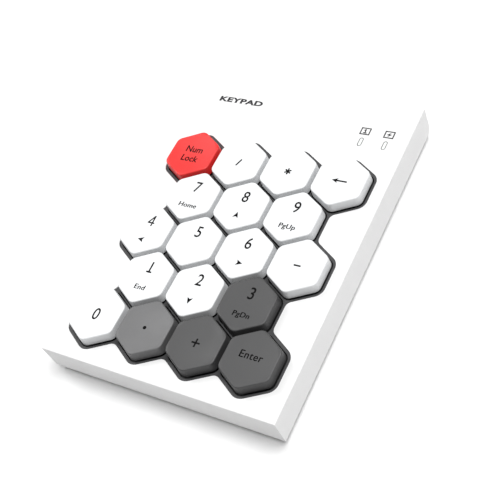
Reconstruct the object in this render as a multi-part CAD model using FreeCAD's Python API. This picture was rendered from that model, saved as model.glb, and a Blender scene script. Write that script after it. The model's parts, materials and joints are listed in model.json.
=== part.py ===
"""Slim rechargeable numeric keypad with eighteen honeycomb keys.

Frame: millimetres, +Z up, +X to the right of the person typing, +Y away from them.
The origin is the centre of the footprint, on the surface that the rubber feet stand on.

From the outside in: a white top case with one honeycomb opening, a white bottom case, hexagonal
keycaps whose square stems slide in the guide tubes of a dark key frame, a silicone dome sheet, a
three-layer membrane and a steel back plate. Behind the keys lie the battery cell and the controller
board with its USB-C socket, slide switch and two indicator lamps.
"""
import FreeCAD
import Part
import math
import os

from FreeCAD import Vector

# Driving dimensions ---------------------------------------------------------------------------
PITCH = 19.05                     # distance between the centres of neighbouring keys, the usual key spacing
CASE_W = 4.53 * PITCH             # outside width of the case
CASE_L = 6.165 * PITCH            # outside depth of the case
CASE_T = 12.0                     # thickness of the closed case
KEY_RISE = 3.5                    # keycap top above the case's top face
TRAVEL = 2.2                      # key travel
FOOT_STAND = 0.8                  # how far the feet hold the case off the table

WALL = 1.8                        # case wall
FLOOR = 1.6                       # bottom case floor
EDGE_R = 1.7                      # rounding of the left, right and front bottom edges
REAR_R = 5.2                      # rounding of the rear bottom edge
TOP_EDGE_R = 0.25                 # rounding of the top face's edge

KEY_TOP_APOTHEM = 0.457 * PITCH   # centre to flat at the keycap's top
KEY_BASE_APOTHEM = 8.93           # centre to flat at the keycap's skirt
KEY_CORNER_R = 2.6                # corner rounding of a keycap, seen from above
OPENING_APOTHEM = 0.5415 * PITCH  # centre to flat of each cell of the case opening
OPENING_CORNER_R = 4.0            # its outward corners
OPENING_NOTCH_R = 2.4             # its inward corners, between two cells
CELL_APOTHEM = 9.32               # hole for one keycap in the key frame's honeycomb

# Heights, from the table up -------------------------------------------------------------------
Z_CASE = FOOT_STAND
Z_FLOOR = Z_CASE + FLOOR          # top of the bottom case's floor
Z_PART = 3.0                      # parting line of the two case halves
Z_PLATE = 3.2                     # underside of the steel back plate
PLATE_T = 0.5
FILM_T = 0.12                     # one membrane layer
Z_FILM = Z_PLATE + PLATE_T
Z_DOME = Z_FILM + 3 * FILM_T      # underside of the dome sheet
DOME_SHEET_T = 0.44
Z_DECK = 8.0                      # underside of the key frame's deck
DECK_T = 1.0
Z_TOP = Z_CASE + CASE_T           # top face of the case
Z_CEILING = Z_TOP - WALL
Z_KEY = Z_TOP + KEY_RISE          # keycap top
Z_LATTICE = Z_TOP - 0.35          # top of the key frame's honeycomb
SKIRT_DEPTH = 3.45                # keycap top to the bottom of its skirt
Z_STEM = 7.1                      # lower end of a keycap's stem

CELL_R = PITCH / math.sqrt(3)     # centre to corner of one honeycomb cell
GRID_Y = -0.5475 * PITCH          # the key field's centre, ahead of the case's centre

# Keys: node name, column in pitches from the left key, row counted from the front
KEYS = [
    ("keycap_num_lock", 0, 4), ("keycap_divide", 1, 4),
    ("keycap_multiply", 2, 4), ("keycap_backspace", 3, 4),
    ("keycap_7", 0.5, 3), ("keycap_8", 1.5, 3), ("keycap_9", 2.5, 3),
    ("keycap_4", 0, 2), ("keycap_5", 1, 2), ("keycap_6", 2, 2), ("keycap_minus", 3, 2),
    ("keycap_1", 0.5, 1), ("keycap_2", 1.5, 1), ("keycap_3", 2.5, 1),
    ("keycap_0", 0, 0), ("keycap_decimal", 1, 0), ("keycap_plus", 2, 0), ("keycap_enter", 3, 0),
]

# Fasteners and fittings: (x, y) ---------------------------------------------------------------
SCREWS_RIGHT = [(38.2, -54.0), (36.2, GRID_Y + 16.5), (37.8, 49.5)]
CASE_SCREWS = [(sx * x, y) for x, y in SCREWS_RIGHT for sx in (-1, 1)]
CASE_BOSS_R = 2.6
LAMP_Y = 41.4
LAMPS = {"num_lock": 26.96, "battery": 35.6}
LENS_L = 3.1
LENS_W = 1.0
LENS_GAP = 0.25                   # between a lens and its slot, each side
USB_X = 14.0
SWITCH_X = 29.0
SWITCH_TRAVEL = 2.5
PORT_Z = 5.3                      # centre height of the socket and the switch
BOARD_T = 1.0
Z_BOARD = Z_FILM - BOARD_T
BOARD_X = (4.0, 40.1)
BOARD_Y = (37.2, 54.0)
BOARD_SCREWS = [(6.6, 51.6), (38.7, 43.0)]
CLAMP_SCREWS = [(9.2, 40.0), (22.8, 40.0)]
TAIL_X = (11.0, 21.0)             # membrane tail
TAIL_END_Y = 42.6
BATTERY = (-34.5, 38.0, 30.0, 15.0, 4.5)  # left, front, length, depth, thickness
TAPE_T = 0.3
FOOT = (12.0, 5.0, 1.3)           # rubber foot: length, depth, thickness
FEET = [(sx * 28.0, y) for y in (-52.6, 49.2) for sx in (-1, 1)]


# Shapes ---------------------------------------------------------------------------------------
def box(x0, x1, y0, y1, z0, z1):
    """Block between two corners."""
    return Part.makeBox(x1 - x0, y1 - y0, z1 - z0, Vector(x0, y0, z0))


def rod(x, y, z0, z1, radius):
    """Upright cylinder."""
    return Part.makeCylinder(radius, z1 - z0, Vector(x, y, z0))


def union(shapes):
    """All the shapes as one solid."""
    return shapes[0].fuse(shapes[1:]).removeSplitter()


def minus(shape, tools):
    """The shape with every tool taken out of it."""
    return shape.cut(Part.makeCompound(tools)).removeSplitter()


def hexagon(x, y, z, apothem):
    """Hexagonal wire with two corners along Y."""
    corner = apothem / math.cos(math.pi / 6)
    turns = [math.radians(30 + 60 * k) for k in range(7)]
    return Part.makePolygon([Vector(x + corner * math.cos(a), y + corner * math.sin(a), z) for a in turns])


def hex_block(z0, apothem0, z1, apothem1, corner_r):
    """Tapered hexagonal block with rounded corners."""
    block = Part.makeLoft([hexagon(0, 0, z0, apothem0), hexagon(0, 0, z1, apothem1)], True, True)
    return block.makeFillet(corner_r, [e for e in block.Edges if e.BoundBox.ZLength > 1])


def slot_prism(x, y, z0, z1, length, width, along="y"):
    """Upright bar with half-round ends."""
    half = (length - width) / 2
    if along == "y":
        bar = box(x - width / 2, x + width / 2, y - half, y + half, z0, z1)
        ends = [rod(x, y + s * half, z0, z1, width / 2) for s in (-1, 1)]
    else:
        bar = box(x - half, x + half, y - width / 2, y + width / 2, z0, z1)
        ends = [rod(x + s * half, y, z0, z1, width / 2) for s in (-1, 1)]
    return union([bar] + ends)


def socket_prism(x, z, y0, y1, width, height):
    """Bar along Y with half-round sides, the outline of a USB-C mouth."""
    half = (width - height) / 2
    ends = [Part.makeCylinder(height / 2, y1 - y0, Vector(x + s * half, y0, z), Vector(0, 1, 0))
            for s in (-1, 1)]
    return union([box(x - half, x + half, y0, y1, z - height / 2, z + height / 2)] + ends)


def rounded_bar(x0, x1, y0, y1, z0, z1, radius):
    """Block with rounded upright edges."""
    block = box(x0, x1, y0, y1, z0, z1)
    upright = [e for e in block.Edges if abs(e.tangentAt(e.FirstParameter).z) > 0.99]
    return block.makeFillet(radius, upright)


def key_centre(column, row):
    """Centre of a key in the honeycomb."""
    return (column - 1.5) * PITCH, GRID_Y + (row - 2) * PITCH * math.sqrt(3) / 2


def key_cells(apothem, z0, z1):
    """The whole honeycomb of key cells as one block."""
    cells = []
    for _, column, row in KEYS:
        x, y = key_centre(column, row)
        cells.append(Part.Face(hexagon(x, y, z0, apothem)).extrude(Vector(0, 0, z1 - z0)))
    return union(cells)


def honeycomb(apothem, z0, z1, corner_r, notch_r):
    """Block of all key cells with its outward and inward corners rounded."""
    block = key_cells(apothem, z0, z1)
    outward, inward = [], []
    probe = 0.2
    for edge in block.Edges:
        if abs(edge.tangentAt(edge.FirstParameter).z) < 0.99:
            continue
        at = edge.Vertexes[0].Point
        around = [Vector(at.x + probe * math.cos(a), at.y + probe * math.sin(a), (z0 + z1) / 2)
                  for a in [math.radians(15 + 30 * k) for k in range(12)]]
        filled = sum(block.isInside(p, 1e-4, False) for p in around)
        (outward if filled < 6 else inward).append(edge)
    block = block.makeFillet(notch_r, inward)
    corners = [v.Point for e in outward for v in e.Vertexes[:1]]
    again = [e for e in block.Edges if abs(e.tangentAt(e.FirstParameter).z) > 0.99
             and any(math.hypot(e.Vertexes[0].X - c.x, e.Vertexes[0].Y - c.y) < 1e-3 for c in corners)]
    return block.makeFillet(corner_r, again)


def pan_screw(x, y, z, length, core_r, head_r, head_t, up=True):
    """Screw with its head's bearing face at z; its shank runs up or down from there, with a cross recess."""
    way = 1 if up else -1
    low, high = sorted((z, z + way * length))
    head_low, head_high = sorted((z - way * head_t, z))
    shank = rod(x, y, low, high, core_r)
    head = rod(x, y, head_low, head_high, head_r)
    recess_t = 0.55 * head_t
    face = head_low if up else head_high - recess_t
    arm, half = 0.62 * head_r, 0.13 * head_r
    cross = [box(x - arm, x + arm, y - half, y + half, face, face + recess_t),
             box(x - half, x + half, y - arm, y + arm, face, face + recess_t)]
    return minus(union([shank, head]), cross)


def write(name, shape):
    """One STEP file per node."""
    shape.exportStep(os.path.join("parts", name + ".step"))


# Case -----------------------------------------------------------------------------------------
def side_profile(inset):
    """Case outline seen from the side, with the large rear bottom rounding and the small front one."""
    y0, y1 = -CASE_L / 2 + inset, CASE_L / 2 - inset
    z0, z1 = Z_CASE + inset, Z_TOP - inset
    rear, front = REAR_R - inset, max(EDGE_R - inset, 0.3)
    s = math.sqrt(0.5)
    edges = [
        Part.LineSegment(Vector(0, y0, z1), Vector(0, y1, z1)),
        Part.LineSegment(Vector(0, y1, z1), Vector(0, y1, z0 + rear)),
        Part.Arc(Vector(0, y1, z0 + rear), Vector(0, y1 - rear + rear * s, z0 + rear - rear * s),
                 Vector(0, y1 - rear, z0)),
        Part.LineSegment(Vector(0, y1 - rear, z0), Vector(0, y0 + front, z0)),
        Part.Arc(Vector(0, y0 + front, z0), Vector(0, y0 + front - front * s, z0 + front - front * s),
                 Vector(0, y0, z0 + front)),
        Part.LineSegment(Vector(0, y0, z0 + front), Vector(0, y0, z1)),
    ]
    return Part.Face(Part.Wire([e.toShape() for e in edges]))


def front_profile(inset):
    """Case outline seen from the front, with both bottom edges rounded."""
    x1 = CASE_W / 2 - inset
    z0, z1 = Z_CASE + inset, Z_TOP - inset
    r = max(EDGE_R - inset, 0.3)
    s = math.sqrt(0.5)
    edges = [
        Part.LineSegment(Vector(-x1, 0, z1), Vector(x1, 0, z1)),
        Part.LineSegment(Vector(x1, 0, z1), Vector(x1, 0, z0 + r)),
        Part.Arc(Vector(x1, 0, z0 + r), Vector(x1 - r + r * s, 0, z0 + r - r * s), Vector(x1 - r, 0, z0)),
        Part.LineSegment(Vector(x1 - r, 0, z0), Vector(-x1 + r, 0, z0)),
        Part.Arc(Vector(-x1 + r, 0, z0), Vector(-x1 + r - r * s, 0, z0 + r - r * s), Vector(-x1, 0, z0 + r)),
        Part.LineSegment(Vector(-x1, 0, z0 + r), Vector(-x1, 0, z1)),
    ]
    return Part.Face(Part.Wire([e.toShape() for e in edges]))


def case_block(inset):
    """Solid block of the closed case, moved inwards by inset."""
    side = side_profile(inset)
    side.translate(Vector(-CASE_W, 0, 0))
    front = front_profile(inset)
    front.translate(Vector(0, -CASE_L, 0))
    return side.extrude(Vector(2 * CASE_W, 0, 0)).common(front.extrude(Vector(0, 2 * CASE_L, 0)))


def case_outer():
    """Closed case with softened top and upright edges."""
    block = case_block(0)
    at_top = [e for e in block.Edges if abs(e.BoundBox.ZMin - Z_TOP) < 1e-3]
    return block.makeFillet(TOP_EDGE_R, at_top)


def top_case():
    shell = case_outer().cut(box(-99, 99, -99, 99, 0, Z_PART))
    inside = case_block(WALL)
    inside = union([inside, inside.translated(Vector(0, 0, -1))])
    shell = shell.cut(inside)
    opening = honeycomb(OPENING_APOTHEM, Z_CEILING - 1, Z_TOP + 1, OPENING_CORNER_R, OPENING_NOTCH_R)
    cuts = [opening]
    cuts += [slot_prism(x, LAMP_Y, Z_CEILING - 1, Z_TOP + 1, LENS_L + 2 * LENS_GAP, LENS_W + 2 * LENS_GAP)
             for x in LAMPS.values()]
    cuts.append(socket_prism(USB_X, PORT_Z, 50, 62, 9.5, 3.75))
    slot_l = 3.0 + SWITCH_TRAVEL + 0.5
    cuts.append(box(SWITCH_X - slot_l / 2, SWITCH_X + slot_l / 2, 54.9, 62, PORT_Z - 1.15, PORT_Z + 1.15))
    bosses = [rod(x, y, Z_FLOOR + 0.1, Z_CEILING + 0.2, CASE_BOSS_R) for x, y in CASE_SCREWS]
    pilots = [rod(x, y, Z_FLOOR, Z_CEILING - 1.0, 0.88) for x, y in CASE_SCREWS]
    # Lens seats hang from the ceiling round each lamp slot
    seats = []
    for x in LAMPS.values():
        outer = slot_prism(x, LAMP_Y, Z_CEILING - 2.0, Z_CEILING + 0.2, LENS_L + 3.0, LENS_W + 3.0)
        inner = slot_prism(x, LAMP_Y, Z_CEILING - 3, Z_CEILING + 1, LENS_L + 1.3, LENS_W + 1.3)
        seats.append(outer.cut(inner))
    solid = union([minus(shell, cuts)] + bosses + seats)
    return minus(solid, pilots)


def bottom_case():
    shell = case_block(0).common(box(-99, 99, -99, 99, 0, Z_PART))
    cavity = case_block(WALL).common(box(-99, 99, -99, 99, 0, 99))
    inside_x = CASE_W / 2 - WALL
    floor_cut = box(-inside_x, inside_x, -CASE_L / 2 + WALL, CASE_L / 2 - REAR_R, Z_FLOOR, 9)
    shell = shell.cut(union([cavity, floor_cut]))
    # Locating lip that stands inside the top case's wall
    lip_x = CASE_W / 2 - WALL - 0.12
    lip_front = -CASE_L / 2 + WALL + 0.12
    lip_rear = CASE_L / 2 - REAR_R - 0.2
    lip_t = 0.8
    lip_top = Z_PART + 1.6
    ring = box(-lip_x, lip_x, lip_front, lip_rear, Z_FLOOR - 0.2, lip_top)
    ring = ring.cut(box(-lip_x + lip_t, lip_x - lip_t, lip_front + lip_t, 99, 0, 99))
    # Ribs that carry the back plate
    ribs = [box(x - 0.6, x + 0.6, GRID_Y - 40.0, GRID_Y + 42.0, Z_FLOOR - 0.2, Z_PLATE - 0.02)
            for x in (-1.5 * PITCH, -0.5 * PITCH, 0.5 * PITCH, 1.5 * PITCH)]
    posts = [rod(x, y, Z_FLOOR - 0.2, Z_BOARD, 2.0) for x, y in BOARD_SCREWS + CLAMP_SCREWS]
    solid = union([shell, ring] + ribs + posts)
    cuts = []
    for x, y in CASE_SCREWS:
        cuts.append(rod(x, y, 0, Z_FLOOR + 5, 1.15))
        cuts.append(rod(x, y, 0, Z_CASE + 1.05, 2.15))
        cuts.append(rod(x, y, Z_FLOOR + 0.05, Z_FLOOR + 5, CASE_BOSS_R + 0.15))
    cuts += [foot_block(x, y, 0.1) for x, y in FEET]
    cuts += [rod(x, y, Z_CASE + 0.5, Z_BOARD + 1, 0.72) for x, y in BOARD_SCREWS + CLAMP_SCREWS]
    return minus(solid, cuts)


def case_screws():
    """Six pan head screws driven up from below."""
    return Part.makeCompound([pan_screw(x, y, Z_CASE + 1.05, 6.5, 0.85, 1.9, 0.9) for x, y in CASE_SCREWS])


def foot_block(x, y, play):
    """Outline of one rubber foot, or with some play its pocket in the case."""
    half_l, half_w = FOOT[0] / 2 + play, FOOT[1] / 2 + play
    return rounded_bar(x - half_l, x + half_l, y - half_w, y + half_w, 0, FOOT[2], 1.5 + play)


def rubber_feet():
    """Four pads in their pockets, with a chamfer where they meet the table."""
    feet = []
    for x, y in FEET:
        pad = foot_block(x, y, 0)
        low = [e for e in pad.Edges if e.BoundBox.ZMax < 1e-3]
        feet.append(pad.makeChamfer(0.2, low))
    return Part.makeCompound(feet)


# Keys -----------------------------------------------------------------------------------------
STEM = 5.6                        # square stem across its flats
GUIDE_PLAY = 0.1                  # stem to guide tube, each side
GUIDE_WALL = 1.2
HOOK = 0.6                        # how far the snap hooks stand out of the stem
CAP_WALL = 1.2
CAP_ROOF = 1.5
DISH_DEPTH = 0.28                 # hollow in the middle of the keycap's top
SHOULDER_R = 0.4                  # rounding between top and side


def keycap():
    """One keycap at the origin of the honeycomb, with its stem and snap hooks."""
    z_skirt = Z_KEY - SKIRT_DEPTH
    outer = hex_block(z_skirt, KEY_BASE_APOTHEM, Z_KEY, KEY_TOP_APOTHEM, KEY_CORNER_R)
    rim = [e for e in outer.Edges if e.BoundBox.ZMin > Z_KEY - 1e-3]
    outer = outer.makeFillet(SHOULDER_R, rim)
    reach = KEY_TOP_APOTHEM - 0.3 * SHOULDER_R
    sphere_r = (reach ** 2 + DISH_DEPTH ** 2) / (2 * DISH_DEPTH)
    outer = outer.cut(Part.makeSphere(sphere_r, Vector(0, 0, Z_KEY - DISH_DEPTH + sphere_r)))
    z_roof = Z_KEY - CAP_ROOF
    taper = (KEY_BASE_APOTHEM - KEY_TOP_APOTHEM) * (1 - CAP_ROOF / SKIRT_DEPTH)
    inner = KEY_BASE_APOTHEM - CAP_WALL
    hollow = hex_block(z_skirt - 0.01, inner, z_roof, inner - taper, KEY_CORNER_R - 1.0)
    half = STEM / 2
    stem = rounded_bar(-half, half, -half, half, Z_STEM, z_roof + 0.3, 0.4)
    core = box(-half + 1.1, half - 1.1, -half + 1.1, half - 1.1, Z_STEM + 1.2, z_roof - 1.0)
    hook_z = Z_DECK - 0.1
    hooks = []
    for side in (-1, 1):
        tips = [Vector(side * (half - 0.3), -1, Z_STEM), Vector(side * half, -1, Z_STEM),
                Vector(side * (half + HOOK), -1, hook_z - 0.15), Vector(side * (half + HOOK), -1, hook_z),
                Vector(side * (half - 0.3), -1, hook_z)]
        hooks.append(Part.Face(Part.makePolygon(tips + tips[:1])).extrude(Vector(0, 2, 0)))
    return union([outer.cut(hollow), stem.cut(core)] + hooks)


def key_frame():
    """Dark deck with a guide tube for every stem, a honeycomb round the keycaps, and pillars below."""
    x1 = CASE_W / 2 - WALL - 0.6
    y0, y1 = GRID_Y - 45.8, GRID_Y + 46.4
    deck = box(-x1, x1, y0, y1, Z_DECK, Z_DECK + DECK_T)
    play = 0.1
    lattice = honeycomb(OPENING_APOTHEM - play, Z_DECK + 0.5, Z_LATTICE, OPENING_CORNER_R - play,
                        OPENING_NOTCH_R + play)
    half_out = STEM / 2 + GUIDE_PLAY + GUIDE_WALL
    half_in = STEM / 2 + GUIDE_PLAY
    tubes, holes = [], []
    for _, column, row in KEYS:
        x, y = key_centre(column, row)
        tubes.append(rounded_bar(x - half_out, x + half_out, y - half_out, y + half_out,
                                 Z_DECK + 0.5, Z_TOP - 0.8, 1.0))
        holes.append(box(x - half_in, x + half_in, y - half_in, y + half_in, Z_DECK - 1, Z_TOP))
        cell = hex_block(Z_DECK + DECK_T, CELL_APOTHEM, Z_TOP, CELL_APOTHEM, KEY_CORNER_R + 0.3)
        lattice = lattice.cut(cell.translated(Vector(x, y, 0)))
    pillars = [rod(x, y, Z_DOME + DOME_SHEET_T + 0.02, Z_DECK + 0.5, 1.6) for x, y in pillar_points()]
    holes += [rod(x, y, Z_DOME, Z_DECK - 0.8, 0.7) for x, y in plate_screw_points()]
    holes += [rod(x, y, Z_DECK - 1, Z_TOP, CASE_BOSS_R + 0.3) for x, y in CASE_SCREWS]
    holes += [box(*sorted((x, 2 * x)), 2 * y, y, Z_DECK - 1, Z_TOP) for x, y in CASE_SCREWS[:2]]
    return minus(union([deck, lattice] + tubes + pillars), holes)


def pillar_points():
    """Corners of the three-key rows' cells, where the frame presses on the sheet."""
    points = []
    for _, column, row in KEYS:
        if row % 2 == 1:
            x, y = key_centre(column, row)
            points += [(x, y + CELL_R), (x, y - CELL_R)]
    return points


def plate_screw_points():
    """The outer pillars, which also take the back plate's screws."""
    return [(x, y) for x, y in pillar_points() if abs(x) > PITCH / 2]


def sheet_outline(z0, thickness, margin):
    """Rectangle under the keys with room for the case bosses and the back plate's screws."""
    x1 = CASE_W / 2 - WALL - 1.15 - margin
    sheet = box(-x1, x1, GRID_Y - 45.0 + margin, GRID_Y + 45.8 - margin, z0, z0 + thickness)
    cuts = [rod(x, y, z0 - 1, z0 + thickness + 1, CASE_BOSS_R + 0.8) for x, y in CASE_SCREWS]
    cuts += [rod(x, y, z0 - 1, z0 + thickness + 1, 0.9) for x, y in plate_screw_points()]
    return sheet, cuts


def dome_sheet():
    """Silicone sheet with one collapsing dome under each stem."""
    sheet, cuts = sheet_outline(Z_DOME, DOME_SHEET_T, 0.8)
    base_r, top_r, skin, roof = 4.6, 3.2, 0.45, 0.8
    z_low, z_high = Z_DOME + DOME_SHEET_T, Z_STEM - 0.02
    domes = []
    for _, column, row in KEYS:
        x, y = key_centre(column, row)
        outline = [Vector(0, 0, z_high), Vector(top_r, 0, z_high), Vector(top_r + 0.1, 0, z_high - 0.7),
                   Vector(base_r, 0, z_low), Vector(base_r, 0, z_low - 0.2), Vector(0, 0, z_low - 0.2)]
        inner = [Vector(0, 0, z_high - roof), Vector(1.2, 0, z_high - roof), Vector(1.4, 0, z_high - 0.45),
                 Vector(top_r - skin, 0, z_high - 0.45), Vector(top_r - skin + 0.1, 0, z_high - 0.9),
                 Vector(base_r - skin, 0, z_low), Vector(base_r - skin, 0, Z_DOME - 1),
                 Vector(0, 0, Z_DOME - 1)]
        turn = [Part.Face(Part.makePolygon(line + line[:1])).revolve(Vector(0, 0, 0), Vector(0, 0, 1), 360)
                for line in (outline, inner)]
        domes.append(turn[0].translated(Vector(x, y, 0)))
        cuts.append(turn[1].translated(Vector(x, y, 0)))
    return minus(union([sheet] + domes), cuts)


def membrane(layer):
    """One printed film; the lowest has the tail that reaches the controller board."""
    sheet, cuts = sheet_outline(Z_FILM + layer * FILM_T, FILM_T, 0.4)
    if layer == 0:
        tail = box(*TAIL_X, GRID_Y + 44.0, TAIL_END_Y, Z_FILM, Z_FILM + FILM_T)
        sheet = union([sheet, tail])
    if layer == 1:
        for _, column, row in KEYS:
            x, y = key_centre(column, row)
            cuts.append(rod(x, y, 0, Z_DECK, 2.5))
    return minus(sheet, cuts)


def back_plate():
    sheet, cuts = sheet_outline(Z_PLATE, PLATE_T, 0)
    return minus(sheet, cuts)


def plate_screws():
    """Eight small screws that clamp plate, films and dome sheet to the key frame."""
    screws = [pan_screw(x, y, Z_PLATE, 3.9, 0.66, 1.5, 0.65) for x, y in plate_screw_points()]
    return Part.makeCompound(screws)


# Electronics ----------------------------------------------------------------------------------
def main_board():
    board = box(*BOARD_X, *BOARD_Y, Z_BOARD, Z_BOARD + BOARD_T)
    cuts = [rod(x, y, 0, 9, CASE_BOSS_R + 0.4) for x, y in CASE_SCREWS]
    cuts += [rod(x, y, 0, 9, 0.85) for x, y in BOARD_SCREWS + CLAMP_SCREWS]
    return minus(board, cuts)


def board_screws():
    screws = [pan_screw(x, y, Z_FILM, 2.2, 0.7, 1.5, 0.65, up=False) for x, y in BOARD_SCREWS]
    return Part.makeCompound(screws)


def clamp_bar():
    """Plastic bar that presses the membrane tail on the board's contacts."""
    bar = rounded_bar(7.2, 24.8, 38.2, 41.8, Z_FILM + 0.9, Z_FILM + 2.3, 1.4)
    feet = [rod(x, y, Z_FILM, Z_FILM + 1.0, 1.5) for x, y in CLAMP_SCREWS]
    return minus(union([bar] + feet), [rod(x, y, 0, 9, 0.85) for x, y in CLAMP_SCREWS])


def clamp_strip():
    """Rubber strip between the clamp bar and the tail."""
    return box(TAIL_X[0] + 0.2, TAIL_X[1] - 0.2, 38.8, 41.2, Z_FILM + FILM_T, Z_FILM + 0.9)


def clamp_screws():
    screws = [pan_screw(x, y, Z_FILM + 2.3, 4.3, 0.7, 1.4, 0.6, up=False) for x, y in CLAMP_SCREWS]
    return Part.makeCompound(screws)


def usb_port():
    """USB-C receptacle: formed shell, open at the rear, with its tongue inside."""
    y0, y1 = 50.7, 58.0
    shell = socket_prism(USB_X, PORT_Z, y0, y1, 8.94, 3.2)
    shell = shell.cut(socket_prism(USB_X, PORT_Z, y0 + 1.0, y1 + 1, 8.34, 2.56))
    tongue = box(USB_X - 3.3, USB_X + 3.3, y0 + 0.9, y1 - 1.1, PORT_Z - 0.35, PORT_Z + 0.35)
    legs = [box(USB_X + s * 3.7 - 0.5, USB_X + s * 3.7 + 0.5, y0 + 0.5, y0 + 2.5, Z_FILM, PORT_Z - 1.0)
            for s in (-1, 1)]
    return union([shell, tongue] + legs)


def switch_body():
    """Slide switch, open at the rear for its knob."""
    body = box(SWITCH_X - 4.3, SWITCH_X + 4.3, 50.6, 54.6, Z_FILM, PORT_Z + 1.6)
    reach = (3.0 + SWITCH_TRAVEL) / 2 + 0.2
    return body.cut(box(SWITCH_X - reach, SWITCH_X + reach, 52.4, 55, PORT_Z - 0.9, PORT_Z + 0.9))


def switch_knob():
    """Knob with its ridges, resting at the off end of its travel."""
    x0 = SWITCH_X - (3.0 + SWITCH_TRAVEL) / 2
    knob = box(x0, x0 + 3.0, 52.6, 58.2, PORT_Z - 0.8, PORT_Z + 0.8)
    grooves = [box(x0 + d - 0.15, x0 + d + 0.15, 57.9, 59, PORT_Z - 1, PORT_Z + 1)
               for d in (0.75, 1.5, 2.25)]
    return minus(knob, grooves)


def lens(x):
    """Clear light pipe from its lamp up through the top face."""
    head = slot_prism(x, LAMP_Y, Z_CEILING - 0.5, Z_TOP - 0.02, LENS_L, LENS_W)
    flange = slot_prism(x, LAMP_Y, Z_CEILING - 1.6, Z_CEILING - 0.02, LENS_L + 1.1, LENS_W + 1.1)
    pipe = slot_prism(x, LAMP_Y, Z_FILM + 1.0, Z_CEILING - 1.0, LENS_L - 0.6, LENS_W)
    return union([head, flange, pipe])


def lamp(x):
    """Small surface-mounted lamp under a light pipe."""
    base = box(x - 0.4, x + 0.4, LAMP_Y - 0.8, LAMP_Y + 0.8, Z_FILM, Z_FILM + 0.35)
    glow = box(x - 0.35, x + 0.35, LAMP_Y - 0.55, LAMP_Y + 0.55, Z_FILM + 0.3, Z_FILM + 0.75)
    return union([base, glow])


def chip(x, y, side, height, pins):
    """Flat chip package with its rows of leads on all four sides."""
    body = box(x - side / 2, x + side / 2, y - side / 2, y + side / 2, Z_FILM + 0.08, Z_FILM + height)
    step = side * 0.8 / (pins - 1)
    leads = []
    for k in range(pins):
        at = -side * 0.4 + k * step
        for s in (-1, 1):
            end = side / 2 + 0.35
            leads.append(box(x + at - 0.1, x + at + 0.1, *sorted((y, y + s * end)), Z_FILM, Z_FILM + 0.2))
            leads.append(box(*sorted((x, x + s * end)), y + at - 0.1, y + at + 0.1, Z_FILM, Z_FILM + 0.2))
    return union([body] + leads)


def crystal():
    """Timing crystal in its metal can."""
    can = rounded_bar(31.4, 34.6, 44.4, 46.9, Z_FILM, Z_FILM + 0.8, 0.4)
    top = [e for e in can.Edges if e.BoundBox.ZMin > Z_FILM + 0.79]
    return can.makeFillet(0.15, top)


def battery_cell():
    """Lithium pouch cell with the folded seal at its right end."""
    x, y, length, depth, thickness = BATTERY
    z = Z_FLOOR + TAPE_T
    pouch = box(x, x + length, y, y + depth, z, z + thickness)
    pouch = pouch.makeFillet(1.0, [e for e in pouch.Edges if abs(e.tangentAt(e.FirstParameter).x) > 0.99])
    seal = box(x + length - 0.5, x + length + 1.6, y + 1.5, y + depth - 1.5, z + 1.9, z + 2.7)
    return union([pouch, seal])


def battery_tape():
    x, y, length, depth, _ = BATTERY
    return box(x + 2, x + length - 2, y + 2, y + depth - 2, Z_FLOOR, Z_FLOOR + TAPE_T)


LEAD_R = 0.45
LEAD_START_X = BATTERY[0] + BATTERY[2] + 1.6
PLUG_X = 3.0                      # front face of the plug's wire side
LEAD_Z = Z_FLOOR + TAPE_T + 2.3
PLUG_Z = Z_FILM + 1.6


def battery_lead(y0, y1):
    """Insulated wire from the cell's seal to the plug: straight, two equal bends, straight."""
    start, end = Vector(LEAD_START_X, y0, LEAD_Z), Vector(PLUG_X, y1, PLUG_Z)
    run = 0.9
    a, b = start + Vector(run, 0, 0), end - Vector(run, 0, 0)
    middle = (a + b) * 0.5
    first = tangent_arc(a, middle)
    second = tangent_arc(b, middle)
    runs = [Part.LineSegment(start, a).toShape(), Part.LineSegment(b, end).toShape()]
    path = Part.Wire([runs[0], first, second, runs[1]])
    ring = Part.Wire([Part.makeCircle(LEAD_R, start, Vector(1, 0, 0))])
    return path.makePipeShell([ring], True, True)


def tangent_arc(at, to):
    """Arc that leaves the point along X and ends at the other point."""
    chord = to - at
    along = Vector(1 if chord.x > 0 else -1, 0, 0)
    across = chord - along * chord.dot(along)
    radius = chord.dot(chord) / (2 * across.Length)
    centre = at + across.normalize() * radius
    half = (at - centre) + (to - centre)
    return Part.Arc(at, centre + half.normalize() * radius, to).toShape()


def battery_plug():
    """Two-way plug on the battery leads."""
    return box(PLUG_X, PLUG_X + 3.4, 44.2, 48.0, PLUG_Z - 1.1, PLUG_Z + 1.1)


def battery_socket():
    """Board socket that the plug sits in."""
    socket = box(PLUG_X + 1.6, PLUG_X + 7.4, 43.4, 48.8, Z_FILM, PLUG_Z + 1.7)
    return socket.cut(box(PLUG_X, PLUG_X + 3.5, 44.1, 48.1, PLUG_Z - 1.2, PLUG_Z + 1.2))


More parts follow.
